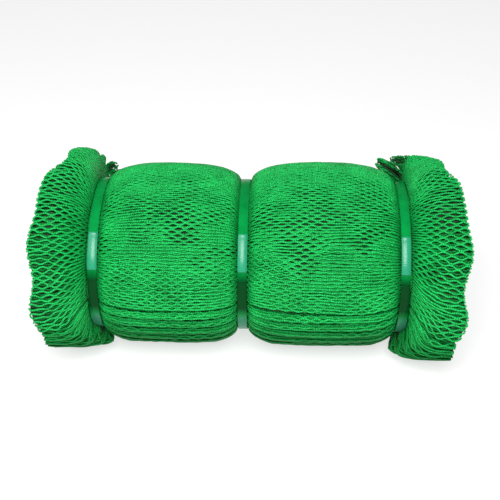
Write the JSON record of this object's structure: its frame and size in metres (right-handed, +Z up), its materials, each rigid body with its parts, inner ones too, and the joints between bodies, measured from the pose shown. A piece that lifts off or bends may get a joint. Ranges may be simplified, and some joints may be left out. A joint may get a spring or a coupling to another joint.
{
  "type": "folded safety net bundle",
  "caption": "Mesh safety net folded back and forth into a long bundle, wrapped over the top, tied with flat straps, with a ruffled flare at each end.",
  "frame": {"origin": "on the surface that the bundle lies on, under the middle of its box", "axes": "+X along the bundle, +Z up; the front, with the free edge of the wrap, faces -Y"},
  "size_m": [0.5544, 0.3, 0.235],
  "materials": {
    "netting": "twisted polyethylene twine, satin",
    "strapping": "glossy translucent strap"
  },
  "bodies": {
    "root": {"net": "netting", "strap_left": "strapping", "strap_middle": "strapping", "strap_right": "strapping"}
  },
  "joints": []
}
